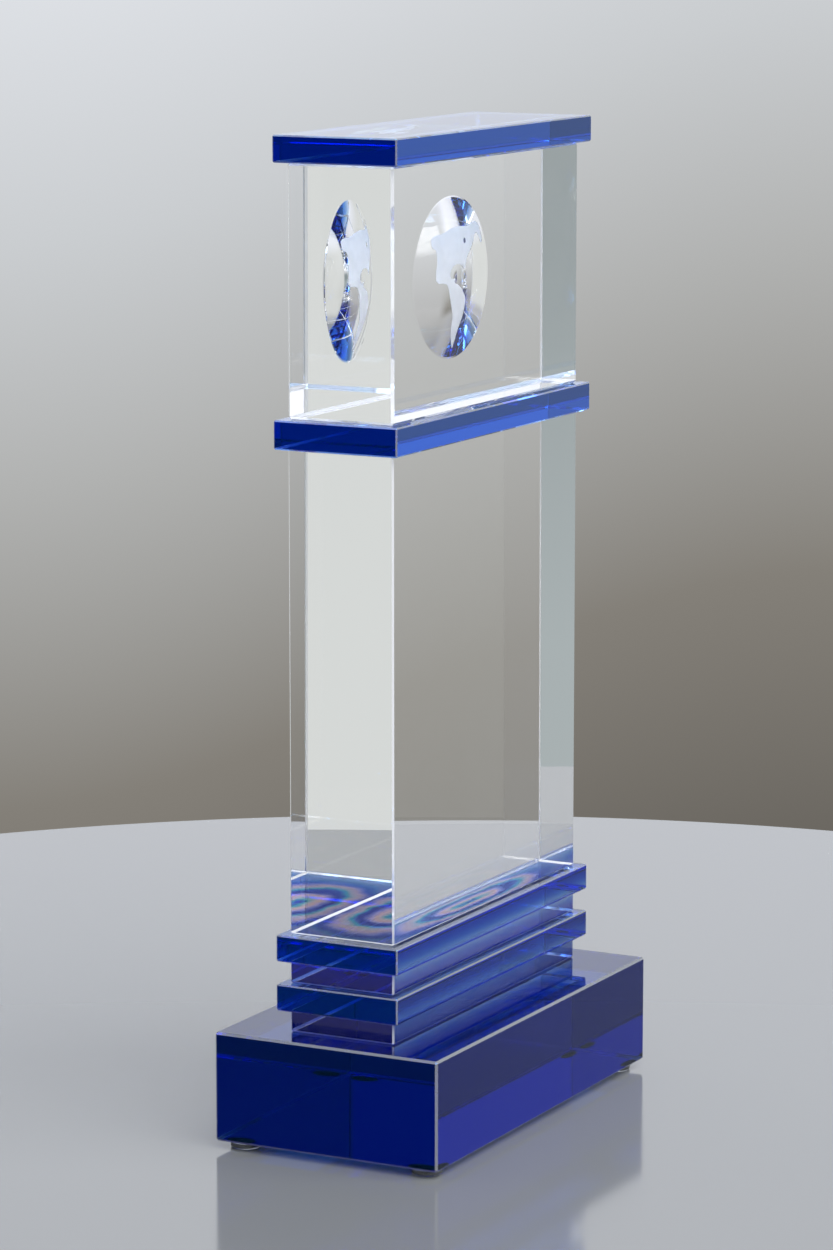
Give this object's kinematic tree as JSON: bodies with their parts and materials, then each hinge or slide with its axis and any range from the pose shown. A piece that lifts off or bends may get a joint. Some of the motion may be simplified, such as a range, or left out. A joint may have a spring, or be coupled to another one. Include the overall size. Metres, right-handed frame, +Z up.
{
  "type": "crystal award",
  "caption": "Free-standing crystal award: a clear slab tower and head block with cobalt blue plates on a thick cobalt base, with a spherical dish in the back of the head.",
  "frame": {"origin": "on the table at the centre of the footprint", "axes": "+Z up; X runs along the wide faces; -Y is the front, and the dish is in the +Y face of the head"},
  "size_m": [0.17, 0.088, 0.357],
  "materials": {
    "clear_crystal": "polished optical crystal with fine bevels, map etched in the dish",
    "cobalt_crystal": "polished cobalt blue crystal, coloured through, fine bevels",
    "base_crystal": "polished deep cobalt blue crystal, coloured through, fine bevels",
    "bond_film": "clear cured adhesive, 0.1 mm, with faint interference colours",
    "bumper": "smooth translucent polyurethane bumper"
  },
  "bodies": {
    "root": {"base_block": "base_crystal", "lower_spacer_block": "clear_crystal", "lower_plinth_plate": "cobalt_crystal", "upper_spacer_block": "clear_crystal", "upper_plinth_plate": "cobalt_crystal", "tower_block": "clear_crystal", "collar_plate": "cobalt_crystal", "head_block": "clear_crystal", "cap_plate": "cobalt_crystal", "base_bond": "bond_film", "lower_spacer_bond": "bond_film", "lower_plinth_bond": "bond_film", "upper_spacer_bond": "bond_film", "tower_foot_bond": "bond_film", "collar_bond": "bond_film", "head_bond": "bond_film", "cap_bond": "bond_film", "foot_front_left": "bumper", "foot_front_right": "bumper", "foot_back_left": "bumper", "foot_back_right": "bumper"}
  },
  "joints": []
}
